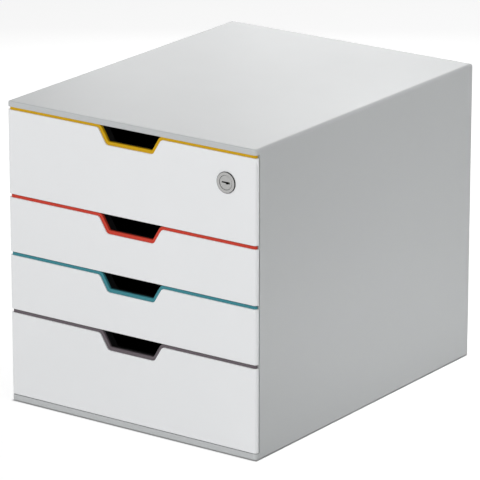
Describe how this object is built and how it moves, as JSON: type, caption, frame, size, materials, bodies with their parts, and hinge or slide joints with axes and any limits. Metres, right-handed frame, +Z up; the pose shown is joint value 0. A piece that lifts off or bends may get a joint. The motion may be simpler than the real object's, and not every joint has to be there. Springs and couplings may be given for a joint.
{
  "type": "desktop drawer box",
  "caption": "Desktop drawer box for papers: a grey moulded housing with full-width white drawer fronts, notches with coloured lips and a cam lock in the top drawer.",
  "frame": {"origin": "middle of the box's footprint, on the surface that the feet stand on", "axes": "+X to the right as seen from the front, +Y from the drawer fronts to the back, +Z up"},
  "size_m": [0.28, 0.3572, 0.292],
  "materials": {
    "housing": "light grey, satin",
    "frame": "grey, fine matt",
    "front": "white, semi-gloss",
    "lip_yellow": "yellow, satin",
    "lip_red": "red, satin",
    "lip_teal": "teal, satin",
    "lip_grey": "warm grey, satin",
    "tray": "black, fine matt",
    "foot": "black",
    "screw": "zinc plated",
    "lock_metal": "nickel plated",
    "wafer": "plain",
    "cam": "zinc plated"
  },
  "bodies": {
    "housing": {"housing_shell": "housing", "base_plate": "housing", "back_panel": "housing", "runner_frame_left": "frame", "runner_frame_right": "frame", "rubber_feet": "foot", "bottom_screws": "screw", "back_screws": "screw", "lock_strike": "cam", "strike_screws": "screw"},
    "drawer_1": {"tray_1": "tray", "lip_1": "lip_yellow", "front_1": "front", "front_screws_1": "screw", "lock_barrel": "lock_metal", "lock_nut": "lock_metal"},
    "drawer_2": {"tray_2": "tray", "lip_2": "lip_red", "front_2": "front", "front_screws_2": "screw"},
    "drawer_3": {"tray_3": "tray", "lip_3": "lip_teal", "front_3": "front", "front_screws_3": "screw"},
    "drawer_4": {"tray_4": "tray", "lip_4": "lip_grey", "front_4": "front", "front_screws_4": "screw"},
    "lock_core": {"lock_plug": "lock_metal", "lock_wafers": "wafer", "wafer_springs": "screw", "stop_washer": "cam", "lock_cam": "cam", "cam_screw": "screw"}
  },
  "joints": [
    {"name": "drawer_1_slide", "type": "slide", "parent": "housing", "child": "drawer_1", "axis": [0, -1, 0], "range_m": [0, 0.265]},
    {"name": "drawer_2_slide", "type": "slide", "parent": "housing", "child": "drawer_2", "axis": [0, -1, 0], "range_m": [0, 0.265]},
    {"name": "drawer_3_slide", "type": "slide", "parent": "housing", "child": "drawer_3", "axis": [0, -1, 0], "range_m": [0, 0.265]},
    {"name": "drawer_4_slide", "type": "slide", "parent": "housing", "child": "drawer_4", "axis": [0, -1, 0], "range_m": [0, 0.265]},
    {"name": "lock_turn", "type": "hinge", "parent": "drawer_1", "child": "lock_core", "pos_m": [0.1072, -0.1774, 0.2568], "axis": [0, 1, 0], "range_deg": [0, 90]}
  ]
}
